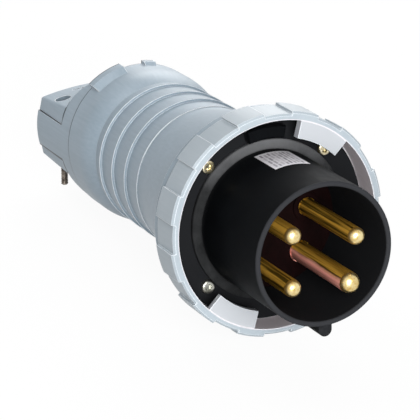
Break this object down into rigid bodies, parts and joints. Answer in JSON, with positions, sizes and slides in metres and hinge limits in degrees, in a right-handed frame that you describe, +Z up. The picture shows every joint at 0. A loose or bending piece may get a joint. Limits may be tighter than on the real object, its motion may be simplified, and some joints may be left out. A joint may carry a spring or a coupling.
{
  "type": "industrial plug",
  "caption": "Industrial pin-and-sleeve plug with a round keyed sleeve, bayonet ring, ribbed body and a screwed cable clamp.",
  "frame": {"origin": "centre of the base of the bounding box, on the surface that the plug lies on", "axes": "+X towards the pins, seen from above; +Z up. The plug's own axis rises 8.0 degrees towards the pins, because the plug rests on its ring and its clamp screws"},
  "size_m": [0.3166, 0.1314, 0.1403],
  "materials": {
    "black_plastic": "moulded, fine satin",
    "maroon_plastic": "moulded, satin",
    "light_grey_plastic": "moulded, satin",
    "grey_plastic": "moulded, satin",
    "rubber": "moulded, matte",
    "brass": "turned, polished",
    "zinc_steel": "yellow zinc plated",
    "dark_steel": "dark zinc plated",
    "plain_steel": "zinc plated"
  },
  "bodies": {
    "plug_body": {"contact_sleeve": "black_plastic", "contact_block": "maroon_plastic", "retaining_plate": "black_plastic", "phase_pin_1": "brass", "phase_pin_2": "brass", "phase_pin_3": "brass", "earth_pin": "brass", "pilot_pin": "brass", "pilot_screw": "plain_steel", "earth_screws": "plain_steel", "phase_screws": "plain_steel", "plate_screws": "plain_steel", "flange_gasket": "rubber", "flange_seal": "rubber", "flange_screws": "zinc_steel", "housing": "grey_plastic", "rear_cap": "grey_plastic", "cap_seal": "rubber", "thrust_washer": "black_plastic", "cable_grommet": "rubber", "clamp_upper": "grey_plastic", "clamp_lower": "grey_plastic", "clamp_screws": "dark_steel", "clamp_nuts": "plain_steel"},
    "ring": {"bayonet_ring": "light_grey_plastic"}
  },
  "joints": [
    {"name": "ring_turn", "type": "hinge", "parent": "plug_body", "child": "ring", "pos_m": [0.07599, 0, 0.07254], "axis": [0.9903, 0, 0.1387], "range_deg": [0, 60]}
  ]
}
